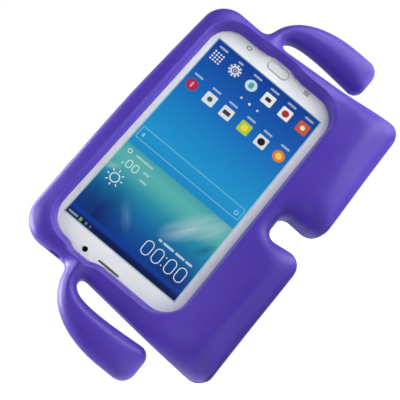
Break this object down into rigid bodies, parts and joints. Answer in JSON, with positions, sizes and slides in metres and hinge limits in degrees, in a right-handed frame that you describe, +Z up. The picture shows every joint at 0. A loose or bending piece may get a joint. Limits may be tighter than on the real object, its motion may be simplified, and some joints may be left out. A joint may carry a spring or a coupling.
{
  "type": "tablet case",
  "caption": "Child's stand-up foam tablet case shaped like a figure, with two arm handles, two feet and a front window, holding a small tablet.",
  "frame": {"origin": "middle of the case's footprint, on the surface that its feet stand on", "axes": "+X along the long side of the screen towards the home button, -Y the way the screen faces, +Z up"},
  "size_m": [0.2692, 0.0424, 0.1516],
  "materials": {
    "purple_foam": "matte",
    "white_bezel_glass": "gloss",
    "white_gloss_plastic": "gloss",
    "black_plastic": "matte",
    "battery_wrap": "matte",
    "board_laminate": "satin",
    "steel_sheet": "satin",
    "flex_film": "satin",
    "bright_trim": "polished",
    "lens_glass": "gloss"
  },
  "bodies": {
    "case": {"foam_case": "purple_foam"},
    "tablet": {"front_glass": "white_bezel_glass", "mid_frame": "white_gloss_plastic", "rear_cover": "white_gloss_plastic", "display_panel": "black_plastic", "battery": "battery_wrap", "main_board": "board_laminate", "shield_can_upper": "steel_sheet", "shield_can_lower": "steel_sheet", "button_board": "board_laminate", "board_flex": "flex_film", "speaker_upper": "black_plastic", "speaker_lower": "black_plastic", "vibration_motor": "steel_sheet", "rear_camera_module": "black_plastic", "rear_camera_ring": "bright_trim", "rear_camera_lens": "lens_glass", "front_camera_module": "black_plastic", "front_camera_lens": "lens_glass", "earpiece_receiver": "black_plastic", "earpiece_mesh": "steel_sheet", "usb_connector": "steel_sheet", "audio_jack": "black_plastic", "frame_screw_1": "steel_sheet", "frame_screw_2": "steel_sheet", "frame_screw_3": "steel_sheet", "frame_screw_4": "steel_sheet", "frame_screw_5": "steel_sheet", "frame_screw_6": "steel_sheet", "home_button_switch": "steel_sheet", "power_key_switch": "steel_sheet", "volume_up_switch": "steel_sheet", "volume_down_switch": "steel_sheet"},
    "home_button": {"home_button": "white_gloss_plastic"},
    "power_key": {"power_key": "white_gloss_plastic"},
    "volume_rocker": {"volume_rocker": "white_gloss_plastic"}
  },
  "joints": [
    {"name": "tablet_pull_out", "type": "slide", "parent": "case", "child": "tablet", "axis": [0, -1, 0], "range_m": [0, 0.06], "deforming": ["foam_case"]},
    {"name": "home_button_press", "type": "slide", "parent": "tablet", "child": "home_button", "axis": [0, 1, 0], "range_m": [0, 0.0004], "stiffness_N_per_m": 1500, "springref_m": -0.0004},
    {"name": "power_key_press", "type": "slide", "parent": "tablet", "child": "power_key", "axis": [0, 0, -1], "range_m": [0, 0.0004], "stiffness_N_per_m": 1500, "springref_m": -0.0004},
    {"name": "volume_rocker_tilt", "type": "hinge", "parent": "tablet", "child": "volume_rocker", "pos_m": [-0.012, 0.00525, 0.13985], "axis": [0, 1, 0], "range_deg": [-1.2, 1.2], "stiffness_Nm_per_rad": 0.5}
  ]
}
